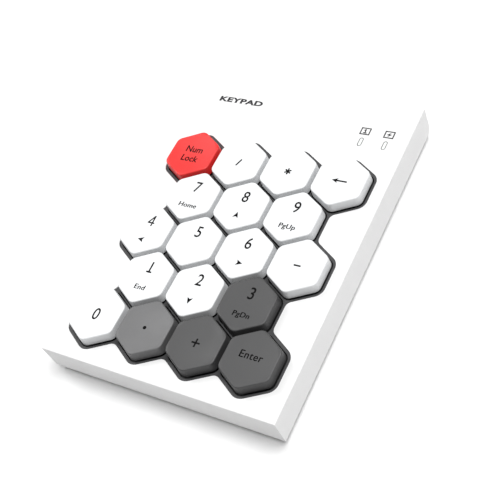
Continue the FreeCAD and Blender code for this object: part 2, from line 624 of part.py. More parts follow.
def build():
    os.makedirs("parts", exist_ok=True)
    write("top_case", top_case())
    write("bottom_case", bottom_case())
    write("case_screws", case_screws())
    write("rubber_feet", rubber_feet())
    cap = keycap()
    for name, column, row in KEYS:
        x, y = key_centre(column, row)
        write(name, cap.translated(Vector(x, y, 0)))
    write("key_frame", key_frame())
    write("dome_sheet", dome_sheet())
    for layer, name in enumerate(("membrane_bottom", "membrane_spacer", "membrane_top")):
        write(name, membrane(layer))
    write("back_plate", back_plate())
    write("plate_screws", plate_screws())
    write("main_board", main_board())
    write("board_screws", board_screws())
    write("clamp_bar", clamp_bar())
    write("clamp_strip", clamp_strip())
    write("clamp_screws", clamp_screws())
    write("usb_port", usb_port())
    write("power_switch_body", switch_body())
    write("power_switch_knob", switch_knob())
    for name, x in LAMPS.items():
        write(name + "_lens", lens(x))
        write(name + "_lamp", lamp(x))
    write("controller_chip", chip(27.5, 47.4, 5.0, 0.9, 8))
    write("charger_chip", chip(20.6, 46.6, 3.0, 0.8, 4))
    write("timing_crystal", crystal())
    write("battery_cell", battery_cell())
    write("battery_tape", battery_tape())
    write("battery_lead_positive", battery_lead(46.6, 47.0))
    write("battery_lead_negative", battery_lead(44.6, 45.2))
    write("battery_plug", battery_plug())
    write("battery_socket", battery_socket())


build()
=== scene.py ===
"""Looks for a slim white numeric keypad with eighteen hexagonal keys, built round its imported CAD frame."""

import json
import math

import bmesh
import bpy
from mathutils import Matrix, Vector


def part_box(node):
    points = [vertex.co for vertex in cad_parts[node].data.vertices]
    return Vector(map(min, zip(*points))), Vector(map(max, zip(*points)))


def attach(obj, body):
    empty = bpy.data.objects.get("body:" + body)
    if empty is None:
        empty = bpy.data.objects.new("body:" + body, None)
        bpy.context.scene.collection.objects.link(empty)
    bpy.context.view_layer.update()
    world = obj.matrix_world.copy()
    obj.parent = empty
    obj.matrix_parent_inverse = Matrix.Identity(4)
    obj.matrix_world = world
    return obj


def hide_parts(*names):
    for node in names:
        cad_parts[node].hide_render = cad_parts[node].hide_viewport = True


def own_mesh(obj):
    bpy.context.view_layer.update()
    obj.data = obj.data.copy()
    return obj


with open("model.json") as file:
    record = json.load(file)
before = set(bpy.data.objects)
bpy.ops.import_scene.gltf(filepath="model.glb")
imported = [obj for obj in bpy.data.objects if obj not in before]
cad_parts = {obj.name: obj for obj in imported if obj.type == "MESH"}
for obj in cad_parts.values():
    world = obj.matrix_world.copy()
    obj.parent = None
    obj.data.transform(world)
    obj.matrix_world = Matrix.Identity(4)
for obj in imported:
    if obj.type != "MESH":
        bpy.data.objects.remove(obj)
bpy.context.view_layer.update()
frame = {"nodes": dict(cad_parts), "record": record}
MM = 0.001

# Sizes -----------------------------------------------------------------------
PITCH = 19.05 * MM                # key spacing
INK = 0.012 * MM                  # half the thickness of printed ink
INK_LIFT = 0.6 * INK              # how far the ink's middle stands above its surface
DISH_R = 129 * MM                 # radius of the hollow in each key's top
DISH_DEPTH = 0.28 * MM
DIGIT_H = 4.25 * MM               # capital heights of the legends
WORD_H = 2.5 * MM
SMALL_H = 1.85 * MM
NUM_LOCK_H = 2.6 * MM
STROKE = 0.56 * MM                # line width of the drawn signs
LEGEND_SHIFT = 0.2 * PITCH        # digits sit this far above a key's centre, second legends this far below
FONT_CAP = 0.729                  # capital height of the built-in font at size 1
CAP_SLIM = 0.9                    # legends are a little narrower than that font
FONT_STEM = 0.085                 # upright stroke of that font at size 1
DIGIT_WEIGHT = 0.008              # how far a digit's outline is pushed out, at size 1

CASE_WHITE = (0.80, 0.80, 0.80)
KEY_WHITE = (0.79, 0.80, 0.81)
KEY_RED = (0.76, 0.026, 0.024)
KEY_GREY = (0.058, 0.058, 0.059)
# The grey key plastic made lighter for the decimal key alone: a painted sheen standing in for the softbox's
# reflection.
KEY_GREY_PAINTED_SHEEN = (0.135, 0.135, 0.137)

# Camera: a small product seen from its front right corner, tilted in the frame
CAM_AT = (164.94 * MM, -135.78 * MM, 252.17 * MM)
CAM_AZIMUTH, CAM_ELEVATION, CAM_ROLL = 47.29, 48.33, -27.20
CAM_LENS, CAM_SENSOR = 71.51, 36.0
CAM_SHIFT = (-0.04, -0.08)


# Materials -------------------------------------------------------------------
def tint(color, factor):
    """Colour with every channel scaled, kept below one."""
    return tuple(min(c * factor, 1.0) for c in color)


class Look:
    """Node tree of one procedural material. Texture coordinates are in metres."""

    def __init__(self, name, **constants):
        self.mat = bpy.data.materials.new(name)
        self.mat.use_nodes = True
        self.tree = self.mat.node_tree
        self.shader = self.tree.nodes["Principled BSDF"]
        for socket, value in constants.items():
            self.shader.inputs[socket.replace("_", " ")].default_value = value
        self.coords = self.add("ShaderNodeTexCoord").outputs["Object"]
        self.bump_out = None

    def add(self, kind, **settings):
        node = self.tree.nodes.new(kind)
        for key, value in settings.items():
            setattr(node, key, value)
        return node

    def link(self, a, b):
        self.tree.links.new(a, b)

    def noise(self, scale, detail=3.0, rough=0.55, stretch=None, distortion=0.0):
        """Noise with `scale` cells to the metre; stretch scales the axes first."""
        node = self.add("ShaderNodeTexNoise")
        node.inputs["Scale"].default_value = scale
        node.inputs["Detail"].default_value = detail
        node.inputs["Roughness"].default_value = rough
        node.inputs["Distortion"].default_value = distortion
        if stretch:
            move = self.add("ShaderNodeMapping")
            move.inputs["Scale"].default_value = stretch
            self.link(self.coords, move.inputs["Vector"])
            self.link(move.outputs["Vector"], node.inputs["Vector"])
        else:
            self.link(self.coords, node.inputs["Vector"])
        return node.outputs["Fac"]

    def cells(self, scale, feature="F1"):
        """Voronoi distance with `scale` cells to the metre."""
        node = self.add("ShaderNodeTexVoronoi", feature=feature)
        node.inputs["Scale"].default_value = scale
        self.link(self.coords, node.inputs["Vector"])
        return node.outputs["Distance"]

    def ramp(self, value, low, high, out_low, out_high):
        """Carries low..high over to out_low..out_high, and stops at both ends."""
        node = self.add("ShaderNodeMapRange")
        limits = {"From Min": low, "From Max": high, "To Min": out_low, "To Max": out_high}
        for socket, number in limits.items():
            node.inputs[socket].default_value = number
        self.link(value, node.inputs["Value"])
        return node.outputs["Result"]

    def blend(self, factor, a, b):
        """Mix of two colours, each a tuple or a socket."""
        node = self.add("ShaderNodeMix", data_type="RGBA")
        self.link(factor, node.inputs["Factor"])
        for socket, color in (("A", a), ("B", b)):
            target = [s for s in node.inputs if s.name == socket and s.type == "RGBA"][0]
            if isinstance(color, tuple):
                target.default_value = (*color, 1.0)
            else:
                self.link(color, target)
        return [s for s in node.outputs if s.type == "RGBA"][0]

    def color(self, socket):
        self.link(socket, self.shader.inputs["Base Color"])

    def roughness(self, socket):
        self.link(socket, self.shader.inputs["Roughness"])

    def bump(self, height, depth, strength=1.0):
        """Adds a bump layer; depth in metres."""
        node = self.add("ShaderNodeBump")
        node.inputs["Strength"].default_value = strength
        node.inputs["Distance"].default_value = depth
        self.link(height, node.inputs["Height"])
        if self.bump_out:
            self.link(self.bump_out, node.inputs["Normal"])
        self.bump_out = node.outputs["Normal"]
        self.link(self.bump_out, self.shader.inputs["Normal"])

    def edge_mask(self, radius):
        """Near 1 along sharp edges, 0 on open faces."""
        soft = self.add("ShaderNodeBevel", samples=4)
        soft.inputs["Radius"].default_value = radius
        flat = self.add("ShaderNodeNewGeometry")
        dot = self.add("ShaderNodeVectorMath", operation="DOT_PRODUCT")
        self.link(soft.outputs["Normal"], dot.inputs[0])
        self.link(flat.outputs["Normal"], dot.inputs[1])
        return self.ramp(dot.outputs["Value"], 0.99, 0.85, 0.0, 1.0)


def moulded(name, color, gloss=0.42, grain=0.30, depth=0.010, mottle=0.02, edge_highlight=0.06, **constants):
    """Moulded plastic with a fine spark-eroded skin of `grain` mm, faint flow marks and a painted highlight
    along its sharp edges.
    """
    look = Look(name, **constants)
    flow = look.noise(28, detail=4, stretch=(1.0, 0.35, 1.0), distortion=0.6)
    base = look.blend(look.ramp(flow, 0.35, 0.65, 0, 1), tint(color, 1 - mottle), tint(color, 1 + mottle))
    # Painted highlight: the colour is made lighter along sharp edges, by the edge highlight fraction.
    edge = look.edge_mask(0.25 * MM)
    look.color(look.blend(edge, base, tint(color, 1 + edge_highlight)))
    skin = look.noise(1 / (grain * MM), detail=2, rough=0.6)
    patches = look.noise(140, detail=3)
    rough = look.add("ShaderNodeMath", operation="MULTIPLY_ADD")
    look.link(look.ramp(skin, 0.3, 0.7, -0.03, 0.03), rough.inputs[0])
    rough.inputs[1].default_value = 1.0
    look.link(look.ramp(patches, 0.35, 0.65, gloss - 0.035, gloss + 0.035), rough.inputs[2])
    look.roughness(rough.outputs["Value"])
    look.bump(look.cells(1 / (grain * 1.6 * MM)), depth * MM * 0.5, 0.35)
    look.bump(skin, depth * MM, 0.6)
    return look.mat


def metal(name, color, gloss=0.28, along=(1, 40, 40), **constants):
    """Plated or rolled metal with fine drawn lines."""
    look = Look(name, Metallic=1.0, **constants)
    lines = look.noise(420, detail=5, rough=0.7, stretch=along)
    stain = look.noise(90, detail=3)
    look.color(look.blend(look.ramp(stain, 0.35, 0.65, 0, 1), tint(color, 0.90), tint(color, 1.05)))
    look.roughness(look.ramp(lines, 0.3, 0.7, gloss - 0.08, gloss + 0.12))
    look.bump(lines, 0.004 * MM, 0.5)
    return look.mat


def rubber(name, color, gloss=0.62, grain=0.22):
    """Silicone or rubber with a matt skin that holds a little dust."""
    look = Look(name)
    dust = look.noise(500, detail=6, rough=0.7)
    skin = look.noise(1 / (grain * MM), detail=3)
    look.color(look.blend(look.ramp(dust, 0.45, 0.75, 0, 0.5), color, tuple(c + 0.05 for c in color)))
    look.roughness(look.ramp(skin, 0.3, 0.7, gloss - 0.08, gloss + 0.08))
    look.bump(skin, 0.012 * MM, 0.7)
    return look.mat


def circuit_board(name):
    """Green solder mask over fine copper tracks."""
    look = Look(name, Specular_IOR_Level=0.5)
    tracks = look.add("ShaderNodeTexBrick", offset=0.5)
    tracks.inputs["Scale"].default_value = 330
    greens = {"Color1": (0.015, 0.16, 0.06), "Color2": (0.018, 0.19, 0.07), "Mortar": (0.04, 0.27, 0.10)}
    for socket, color in greens.items():
        tracks.inputs[socket].default_value = (*color, 1)
    tracks.inputs["Mortar Size"].default_value = 0.035
    look.link(look.coords, tracks.inputs["Vector"])
    look.color(tracks.outputs["Color"])
    look.roughness(look.ramp(look.noise(300), 0.3, 0.7, 0.22, 0.36))
    look.bump(tracks.outputs["Fac"], 0.02 * MM, 0.5)
    return look.mat


def film(name):
    """Polyester film with printed silver tracks."""
    look = Look(name, Transmission_Weight=0.55, IOR=1.5)
    tracks = look.cells(130, feature="DISTANCE_TO_EDGE")
    look.color(look.blend(look.ramp(tracks, 0.02, 0.05, 1, 0), (0.74, 0.79, 0.76), (0.42, 0.43, 0.45)))
    look.roughness(look.ramp(look.noise(260), 0.3, 0.7, 0.16, 0.30))
    look.bump(tracks, 0.01 * MM, 0.3)
    return look.mat


def foil(name):
    """Crinkled aluminium pouch foil."""
    look = Look(name, Metallic=1.0)
    crease = look.noise(150, detail=6, rough=0.6, distortion=0.8)
    look.color(look.blend(look.ramp(crease, 0.35, 0.65, 0, 1), (0.62, 0.63, 0.64), (0.78, 0.79, 0.80)))
    look.roughness(look.ramp(look.noise(700), 0.3, 0.7, 0.22, 0.40))
    look.bump(crease, 0.12 * MM, 0.5)
    return look.mat


def clear(name, color):
    """Clear acrylic light pipe with a lightly frosted skin."""
    look = Look(name, Transmission_Weight=0.12, IOR=1.49)
    haze = look.noise(900, detail=3)
    look.color(look.blend(look.ramp(haze, 0.35, 0.65, 0, 1), tint(color, 0.97), color))
    look.roughness(look.ramp(haze, 0.3, 0.7, 0.16, 0.30))
    look.bump(haze, 0.006 * MM, 0.5)
    return look.mat


def cloth_tape(name):
    """Double-sided tape with a woven liner."""
    look = Look(name, Roughness=0.8)
    weave = look.add("ShaderNodeTexChecker")
    weave.inputs["Scale"].default_value = 2400
    weave.inputs["Color1"].default_value = (0.86, 0.86, 0.82, 1)
    weave.inputs["Color2"].default_value = (0.76, 0.76, 0.72, 1)
    look.link(look.coords, weave.inputs["Vector"])
    look.color(weave.outputs["Color"])
    look.roughness(look.ramp(look.noise(800), 0.3, 0.7, 0.70, 0.90))
    look.bump(weave.outputs["Fac"], 0.02 * MM, 0.6)
    return look.mat


def ink(name, color):
    """Printed legend ink, slightly uneven in cover and gloss."""
    look = Look(name, Specular_IOR_Level=0.05)
    cover = look.noise(5200, detail=4, rough=0.7)
    look.color(look.blend(look.ramp(cover, 0.45, 0.8, 0, 1), color, tuple(1.5 * c for c in color)))
    look.roughness(look.ramp(cover, 0.3, 0.7, 0.55, 0.72))
    look.bump(cover, 0.003 * MM, 0.4)
    return look.mat


KEY_SKIN = {"grain": 0.22, "depth": 0.006}
# Each edge highlight value sets how much lighter that plastic is painted along its sharp edges, a painted
# highlight.
SLOT_LOOKS = {
    "case_white": moulded("case_plastic", CASE_WHITE, gloss=0.46, grain=0.32, mottle=0.012, edge_highlight=0.03),
    "key_white": moulded("key_plastic_white", KEY_WHITE, gloss=0.40, **KEY_SKIN, mottle=0.012, edge_highlight=0.03),
    "key_red": moulded("key_plastic_red", KEY_RED, gloss=0.36, **KEY_SKIN, mottle=0.03, edge_highlight=0.08),
    "key_grey": moulded("key_plastic_grey", KEY_GREY, gloss=0.44, **KEY_SKIN, mottle=0.04, edge_highlight=0.15),
    "frame_black": moulded("frame_plastic", (0.045, 0.045, 0.047), gloss=0.55, grain=0.35,
                           mottle=0.08, edge_highlight=0.25),
    "silicone": rubber("dome_silicone", (0.50, 0.53, 0.55), gloss=0.50),
    "film": film("membrane_film"),
    "plate_steel": metal("zinc_plate", (0.56, 0.57, 0.58), gloss=0.34),
    "screw_steel": metal("screw_steel", (0.46, 0.46, 0.47), gloss=0.30, along=(30, 30, 1)),
    "foot_rubber": rubber("foot_rubber", (0.035, 0.035, 0.038), gloss=0.70, grain=0.30),
    "board_green": circuit_board("board_mask"),
    "bright_metal": metal("nickel", (0.72, 0.71, 0.68), gloss=0.22, along=(30, 1, 30)),
    "knob_black": moulded("knob_plastic", (0.028, 0.028, 0.030), gloss=0.45, grain=0.18, depth=0.008,
                          mottle=0.06, edge_highlight=0.5),
    "lens_clear": clear("lens_acrylic", (0.92, 0.95, 0.93)),
    "lamp": moulded("lamp_phosphor", (0.80, 0.76, 0.42), gloss=0.30, grain=0.10, depth=0.004),
    "chip_black": moulded("chip_epoxy", (0.030, 0.030, 0.032), gloss=0.50, grain=0.12, depth=0.008,
                          mottle=0.10, edge_highlight=0.3),
    "foil": foil("pouch_foil"),
    "tape": cloth_tape("liner_tape"),
    "lead_red": rubber("lead_red", (0.52, 0.02, 0.015), gloss=0.38),
    "lead_black": rubber("lead_black", (0.02, 0.02, 0.022), gloss=0.38),
    "plug_white": moulded("plug_nylon", (0.78, 0.76, 0.68), gloss=0.40, grain=0.15, depth=0.006),
}
INK_BLACK = ink("legend_ink_black", (0.004, 0.004, 0.004))
INK_GREY = ink("case_ink_grey", (0.040, 0.040, 0.042))
# Dark grey fill for the gaps round the indicator windows: painted shade.
GAP_SHADE_GREY = rubber("painted_gap_shade", (0.050, 0.050, 0.052), gloss=0.6)
GOLD = metal("contact_gold", (0.83, 0.60, 0.25), gloss=0.22, along=(30, 1, 30))
# Lighter copy of the grey key plastic, used only on the decimal key: a painted sheen.
GREY_KEY_PAINTED_SHEEN = moulded("key_plastic_grey_painted_sheen", KEY_GREY_PAINTED_SHEEN, gloss=0.44, **KEY_SKIN, mottle=0.03, edge_highlight=0.1)

slot_of = {part["node"]: part["material_slot"] for part in frame["record"]["subparts"]}
# The decimal key takes the lighter grey copy, a painted sheen; every other part takes its slot's look.
for node, obj in frame["nodes"].items():
    obj.data.materials.clear()
    obj.data.materials.append(GREY_KEY_PAINTED_SHEEN if node == "keycap_decimal" else SLOT_LOOKS[slot_of[node]])


# Pieces ----------------------------------------------------------------------
def piece(name, mesh, mat, body):
    """A new shown piece that rides on a body."""
    obj = bpy.data.objects.new(name, mesh)
    bpy.context.scene.collection.objects.link(obj)
    obj.data.materials.clear()
    obj.data.materials.append(mat)
    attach(obj, body)
    return obj


def mesh_from(name, build):
    """Mesh from a function that fills a bmesh."""
    bm = bmesh.new()
    build(bm)
    bmesh.ops.recalc_face_normals(bm, faces=bm.faces)
    mesh = bpy.data.meshes.new(name)
    bm.to_mesh(mesh)
    bm.free()
    return mesh


def plate_of(bm, outline, low, high, holes=()):
    """Closed plate between two heights from an outline. A hole has as many points as the outline."""
    rings = []
    for line in (outline, *holes):
        rings.append([[bm.verts.new((x, y, z)) for x, y in line] for z in (low, high)])
    for floor, roof in rings:
        for i in range(len(floor)):
            j = (i + 1) % len(floor)
            bm.faces.new((floor[i], floor[j], roof[j], roof[i]))
    if len(rings) == 1:
        bm.faces.new(rings[0][0])
        bm.faces.new(rings[0][1])
    else:
        for level in (0, 1):
            outer, inner = rings[0][level], rings[1][level]
            for i in range(len(outer)):
                j = (i + 1) % len(outer)
                bm.faces.new((outer[i], outer[j], inner[j], inner[i]))


def combined(one, two, operation):
    """Boolean of two closed meshes."""
    parts = [bpy.data.objects.new("part", mesh) for mesh in (one, two)]
    for obj in parts:
        bpy.context.scene.collection.objects.link(obj)
    step = parts[0].modifiers.new("step", "BOOLEAN")
    step.object, step.operation, step.solver = parts[1], operation, "EXACT"
    graph = bpy.context.evaluated_depsgraph_get()
    mesh = bpy.data.meshes.new_from_object(parts[0].evaluated_get(graph))
    for obj in parts:
        bpy.data.objects.remove(obj)
    return mesh


def words(text, cap_h, slim=CAP_SLIM, spacing=1.0, weight=0.014, strike=0.0):
    """Flat closed letters as a mesh, centred on the origin, with capitals cap_h high.

    Letters grow by weight all round. With strike they are laid twice, that far apart, and joined.
    """
    curve = bpy.data.curves.new("letters", "FONT")
    curve.body = text
    curve.size = 1.0
    curve.offset = weight
    curve.space_character = spacing
    curve.extrude = 0.01
    curve.resolution_u = 6
    temp = bpy.data.objects.new("letters", curve)
    mesh = bpy.data.meshes.new_from_object(temp)
    bpy.data.objects.remove(temp)
    bpy.data.curves.remove(curve)
    if strike:
        second = mesh.copy()
        second.transform(Matrix.Translation((strike, 0, 0)))
        mesh = combined(mesh, second, "UNION")
    size = cap_h / FONT_CAP
    xs = [v.co.x for v in mesh.vertices]
    middle = (min(xs) + max(xs)) / 2
    for v in mesh.vertices:
        x, y = (v.co.x - middle) * size * slim, v.co.y * size - cap_h / 2
        v.co = Vector((x, y, math.copysign(INK, v.co.z)))
    mesh.materials.clear()
    return mesh


def shape(points):
    """Flat closed figure as a mesh, thin as ink."""
    return mesh_from("figure", lambda bm: plate_of(bm, points, -INK, INK))


def bar(x, y, length, width, turn=0.0):
    """Rounded stroke centred on a point."""
    half, r = (length - width) / 2, width / 2
    points = []
    for cx, start in ((half, 0), (-half, 180)):
        points += [(cx + r * math.cos(math.radians(start + a)), r * math.sin(math.radians(start + a)))
                   for a in range(-90, 91, 18)]
    c, s = math.cos(math.radians(turn)), math.sin(math.radians(turn))
    return shape([(x + px * c - py * s, y + px * s + py * c) for px, py in points])


def star(size, width, arms):
    """Arms that meet in the middle, as one outline: four make a plus, six an asterisk."""
    points = []
    crotch = width / 2 / math.sin(math.pi / arms)
    for k in range(arms):
        a = 2 * math.pi * k / arms + math.pi / 2
        tip = Vector((math.cos(a), math.sin(a))) * size / 2
        side = Vector((-math.sin(a), math.cos(a))) * width / 2
        for s in (-1, 1):
            points.append(tuple(tip + s * side))
        points.append((crotch * math.cos(a + math.pi / arms), crotch * math.sin(a + math.pi / arms)))
    return shape(points)


def arrow_head(size, turn):
    """Small notched arrow head; turn 0 points along +X."""
    c, s = math.cos(math.radians(turn)), math.sin(math.radians(turn))
    points = [(0.62, 0.0), (-0.42, 0.46), (-0.20, 0.0), (-0.42, -0.46)]
    return shape([(size * (px * c - py * s), size * (px * s + py * c)) for px, py in points])


def joined(*parts):
    """One mesh from several (mesh, x, y) parts."""
    bm = bmesh.new()
    for mesh, x, y in parts:
        mesh.transform(Matrix.Translation((x, y, 0)))
        bm.from_mesh(mesh)
    out = bpy.data.meshes.new("joined")
    bm.to_mesh(out)
    bm.free()
    return out


def fused(*parts):
    """One closed mesh from overlapping (mesh, x, y) parts, worked out at a thousand times the size."""
    figure = None
    for mesh, x, y in parts:
        mesh.transform(Matrix.Scale(1 / MM, 4) @ Matrix.Translation((x, y, 0)))
        figure = combined(figure, mesh, "UNION") if figure else mesh
    figure.transform(Matrix.Scale(MM, 4))
    return figure


def stroke(start, end, width):
    """Rounded stroke between two points."""
    run = Vector(end) - Vector(start)
    x, y = (Vector(end) + Vector(start)) / 2
    return bar(x, y, run.length + width, width, math.degrees(math.atan2(run.y, run.x)))


def four(cap_h, line):
    """The digit four from its three strokes."""
    top = (0.13 * cap_h, 0.5 * cap_h - line / 2)
    foot = (top[0], -top[1])
    elbow, tail = (-0.26 * cap_h, -0.19 * cap_h), (0.27 * cap_h, -0.19 * cap_h)
    return fused(*((stroke(a, b, line), 0, 0) for a, b in ((top, foot), (top, elbow), (elbow, tail))))


def digit(text, cap_h):
    """One digit; the one stands on a foot."""
    if text == "4":
        return four(cap_h, 0.12 * cap_h)
    figure = words(text, cap_h, weight=DIGIT_WEIGHT)
    if text != "1":
        return figure
    line = (FONT_STEM + 2 * DIGIT_WEIGHT) * cap_h / FONT_CAP
    stem = max(v.co.x for v in figure.vertices) - line / 2
    return fused((figure, 0, 0), (bar(0, 0, 0.50 * cap_h, line), stem, -cap_h / 2 + line / 2))


def key_top(node):
    """Centre of a key's top."""
    low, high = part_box(node)
    return (low[0] + high[0]) / 2, (low[1] + high[1]) / 2, high[2]


def print_on_key(key, mesh):
    """Lays a flat legend on a key's hollow top."""
    x, y, z = key_top("keycap_" + key)
    mesh = split_long_edges(mesh)
    for v in mesh.vertices:
        rise = DISH_R - math.sqrt(DISH_R ** 2 - v.co.x ** 2 - v.co.y ** 2) - DISH_DEPTH
        v.co = Vector((x + v.co.x, y + v.co.y, z + rise + v.co.z + INK_LIFT))
    mesh.name = "legend_" + key
    piece("legend_" + key, mesh, INK_BLACK, "key_" + key)


def split_long_edges(mesh, longest=0.7 * MM):
    """Cuts long edges so that a flat figure can follow a curved top."""
    bm = bmesh.new()
    bm.from_mesh(mesh)
    bmesh.ops.remove_doubles(bm, verts=bm.verts, dist=0.0005 * MM)
    bmesh.ops.triangulate(bm, faces=bm.faces)
    for _ in range(4):
        long_ones = [e for e in bm.edges if e.calc_length() > longest]
        if not long_ones:
            break
        bmesh.ops.subdivide_edges(bm, edges=long_ones, cuts=1)
        bmesh.ops.triangulate(bm, faces=[f for f in bm.faces if len(f.verts) > 3])
    bm.to_mesh(mesh)
    bm.free()
    return mesh


UP, DOWN = LEGEND_SHIFT, -LEGEND_SHIFT
legends = {
    "num_lock": joined((words("Num", NUM_LOCK_H, slim=0.95), 0, 2.05 * MM),
                       (words("Lock", NUM_LOCK_H, slim=0.95), 0, -1.95 * MM)),
    "divide": bar(0, 0, 3.1 * MM, STROKE, turn=68),
    "multiply": star(2.5 * MM, STROKE, 6),
    "backspace": fused((bar(0, 0, 3.9 * MM, STROKE), 0.6 * MM, 0),
                       (arrow_head(2.0 * MM, 180), -1.6 * MM, 0)),
    "minus": bar(0, 0, 2.5 * MM, STROKE),
    "plus": star(2.9 * MM, STROKE, 4),
    "decimal": bar(0, 0, 1.21 * MM, 1.2 * MM),
    "enter": joined((words("Enter", WORD_H, slim=0.96, spacing=1.10, weight=0.005, strike=0.024),
                     0, 1.1 * MM)),
    "0": digit("0", DIGIT_H),
    "5": joined((digit("5", DIGIT_H), 0, UP)),
}
for key, second in (("7", "Home"), ("9", "PgUp"), ("1", "End"), ("3", "PgDn")):
    below = words(second, SMALL_H, slim=1.06, spacing=1.06, weight=0.005, strike=0.042)
    legends[key] = joined((digit(key, DIGIT_H), 0, UP), (below, 0, DOWN))
for key, turn in (("8", 90), ("4", 180), ("6", 0), ("2", -90)):
    legends[key] = joined((digit(key, DIGIT_H), 0, UP), (arrow_head(2.2 * MM, turn), 0, DOWN))
for key, mesh in legends.items():
    print_on_key(key, mesh)


def print_on_case(name, mesh, x, y):
    """Lays a flat figure on the top face of the case."""
    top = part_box("top_case")[1][2]
    mesh.transform(Matrix.Translation((x, y, top + INK_LIFT)))
    mesh.name = name
    piece(name, mesh, INK_GREY, "case")


def square_outline(width, height, line):
    """Hollow rectangle."""

    def corners(w, h):
        return [(-w / 2, -h / 2), (w / 2, -h / 2), (w / 2, h / 2), (-w / 2, h / 2)]

    hole = corners(width - 2 * line, height - 2 * line)
    return mesh_from("frame", lambda bm: plate_of(bm, corners(width, height), -INK, INK, [hole]))


def lens_centre(node):
    """Centre of an indicator window, seen from above."""
    low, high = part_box(node)
    return (low[0] + high[0]) / 2, (low[1] + high[1]) / 2


def slot_line(length, width):
    """Outline of an upright slot with half-round ends."""
    r, half = width / 2, (length - width) / 2
    return [(r * math.cos(math.radians(a)), side * half + r * math.sin(math.radians(a)))
            for side, start in ((1, 0), (-1, 180)) for a in range(start, start + 181, 15)]


ICON_W, ICON_H, ICON_LINE = 3.6 * MM, 3.0 * MM, 0.42 * MM
ICON_BEHIND = 4.6 * MM            # from a window's centre to its icon's
FLANGE = 1.1 * MM                 # how much larger a lens's flange is than its head
BOLT_W, BOLT_H = 1.25, 1.1        # how the bolt's outline is stretched, in mm
bolt = [(0.42, 0.92), (-0.80, -0.17), (-0.12, -0.17), (-0.42, -0.92), (0.80, 0.17), (0.12, 0.17)]
ONE_TOP, ONE_FOOT = 0.72 * MM, -0.72 * MM
icon_one = [((0, ONE_TOP), (0, ONE_FOOT)), ((0, ONE_TOP), (-0.42 * MM, 0.40 * MM)),
            ((-0.5 * MM, ONE_FOOT), (0.5 * MM, ONE_FOOT))]
icons = {
    "num_lock": fused(*((stroke(a, b, ICON_LINE), 0, 0) for a, b in icon_one)),
    "battery": shape([(BOLT_W * px * MM, BOLT_H * py * MM) for px, py in bolt]),
}
for lamp_name, figure in icons.items():
    x, y = lens_centre(lamp_name + "_lens")
    framed = joined((square_outline(ICON_W, ICON_H, ICON_LINE), 0, 0), (figure, 0, 0))
    print_on_case("icon_" + lamp_name, framed, x, y + ICON_BEHIND)


# A dark grey ring fills the gap between each window and the case: painted shade of that gap
LENS_GAP = 0.25 * MM              # between a window and the case
SHADE_RING_PLAY = 0.01 * MM           # keeps the ring off both
SHADE_RING_T = 0.5 * MM
for lamp_name in icons:
    x, y = lens_centre(lamp_name + "_lens")
    low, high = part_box(lamp_name + "_lens")
    head_l, head_w = high[1] - low[1] - FLANGE, high[0] - low[0] - FLANGE
    outer = slot_line(head_l + 2 * (LENS_GAP - SHADE_RING_PLAY), head_w + 2 * (LENS_GAP - SHADE_RING_PLAY))
    inner = slot_line(head_l + 2 * SHADE_RING_PLAY, head_w + 2 * SHADE_RING_PLAY)
    ring = mesh_from("gap_shade_ring", lambda bm: plate_of(bm, outer, -SHADE_RING_T, 0, [inner]))
    ring.transform(Matrix.Translation((x, y, high[2])))
    piece("window_gap_shade_" + lamp_name, ring, GAP_SHADE_GREY, "case")

# The word stands behind the keys, this far behind the middle key's centre
CASE_WORD_H = 2.15 * MM
CASE_WORD_X, CASE_WORD_BEHIND = -24.4 * MM, 61.3 * MM
print_on_case("case_word", words("KEYPAD", CASE_WORD_H, slim=1.60, spacing=1.06, weight=0.045),
              CASE_WORD_X, key_top("keycap_5")[1] + CASE_WORD_BEHIND)


# Silicone domes: one under each key, each with a mesh of its own
def turned(bm, profile, centre, steps=40):
    """Solid of revolution about a vertical axis from a closed (radius, height) outline."""
    rings = []
    for k in range(steps):
        a = 2 * math.pi * k / steps
        rings.append([bm.verts.new((centre[0] + r * math.cos(a), centre[1] + r * math.sin(a), z))
                      for r, z in profile])
    for k in range(steps):
        one, two = rings[k], rings[(k + 1) % steps]
        for i in range(len(profile)):
            j = (i + 1) % len(profile)
            bm.faces.new((one[i], one[j], two[j], two[i]))
    bmesh.ops.remove_doubles(bm, verts=bm.verts, dist=1e-7)


sheet_low, sheet_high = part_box("dome_sheet")
SHEET_T = 0.44 * MM
dome_foot = sheet_low[2] + SHEET_T
dome_top = sheet_high[2]
# Radius in mm and height, up the outside and back down the inside
dome_profile = [
    (4.6, dome_foot), (4.45, dome_foot + 0.10 * MM), (3.45, dome_top - 0.95 * MM),
    (3.28, dome_top - 0.55 * MM), (3.2, dome_top - 0.1 * MM), (3.05, dome_top), (0.0, dome_top),
    (0.0, dome_top - 0.5 * MM), (2.7, dome_top - 0.5 * MM), (2.9, dome_top - 0.95 * MM),
    (4.0, dome_foot + 0.08 * MM), (4.1, dome_foot)]
dome_outline = [(r * MM, z) for r, z in dome_profile]
for node in frame["nodes"]:
    if not node.startswith("keycap_"):
        continue
    x, y, _ = key_top(node)
    key = node.removeprefix("keycap_")
    mesh = mesh_from("dome", lambda bm: turned(bm, dome_outline, (x, y)))
    dome = piece("dome_" + key, mesh, SLOT_LOOKS["silicone"], "case")
    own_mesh(dome)


BOSSES = ((38.2, -54.0), (36.2, 6.07))    # case screw bosses beside the sheet, right side, in mm
BOSS_CLEAR_R = 3.4 * MM
DRILL_TOP = 10 * MM                       # the drill runs from the floor to well above the sheet


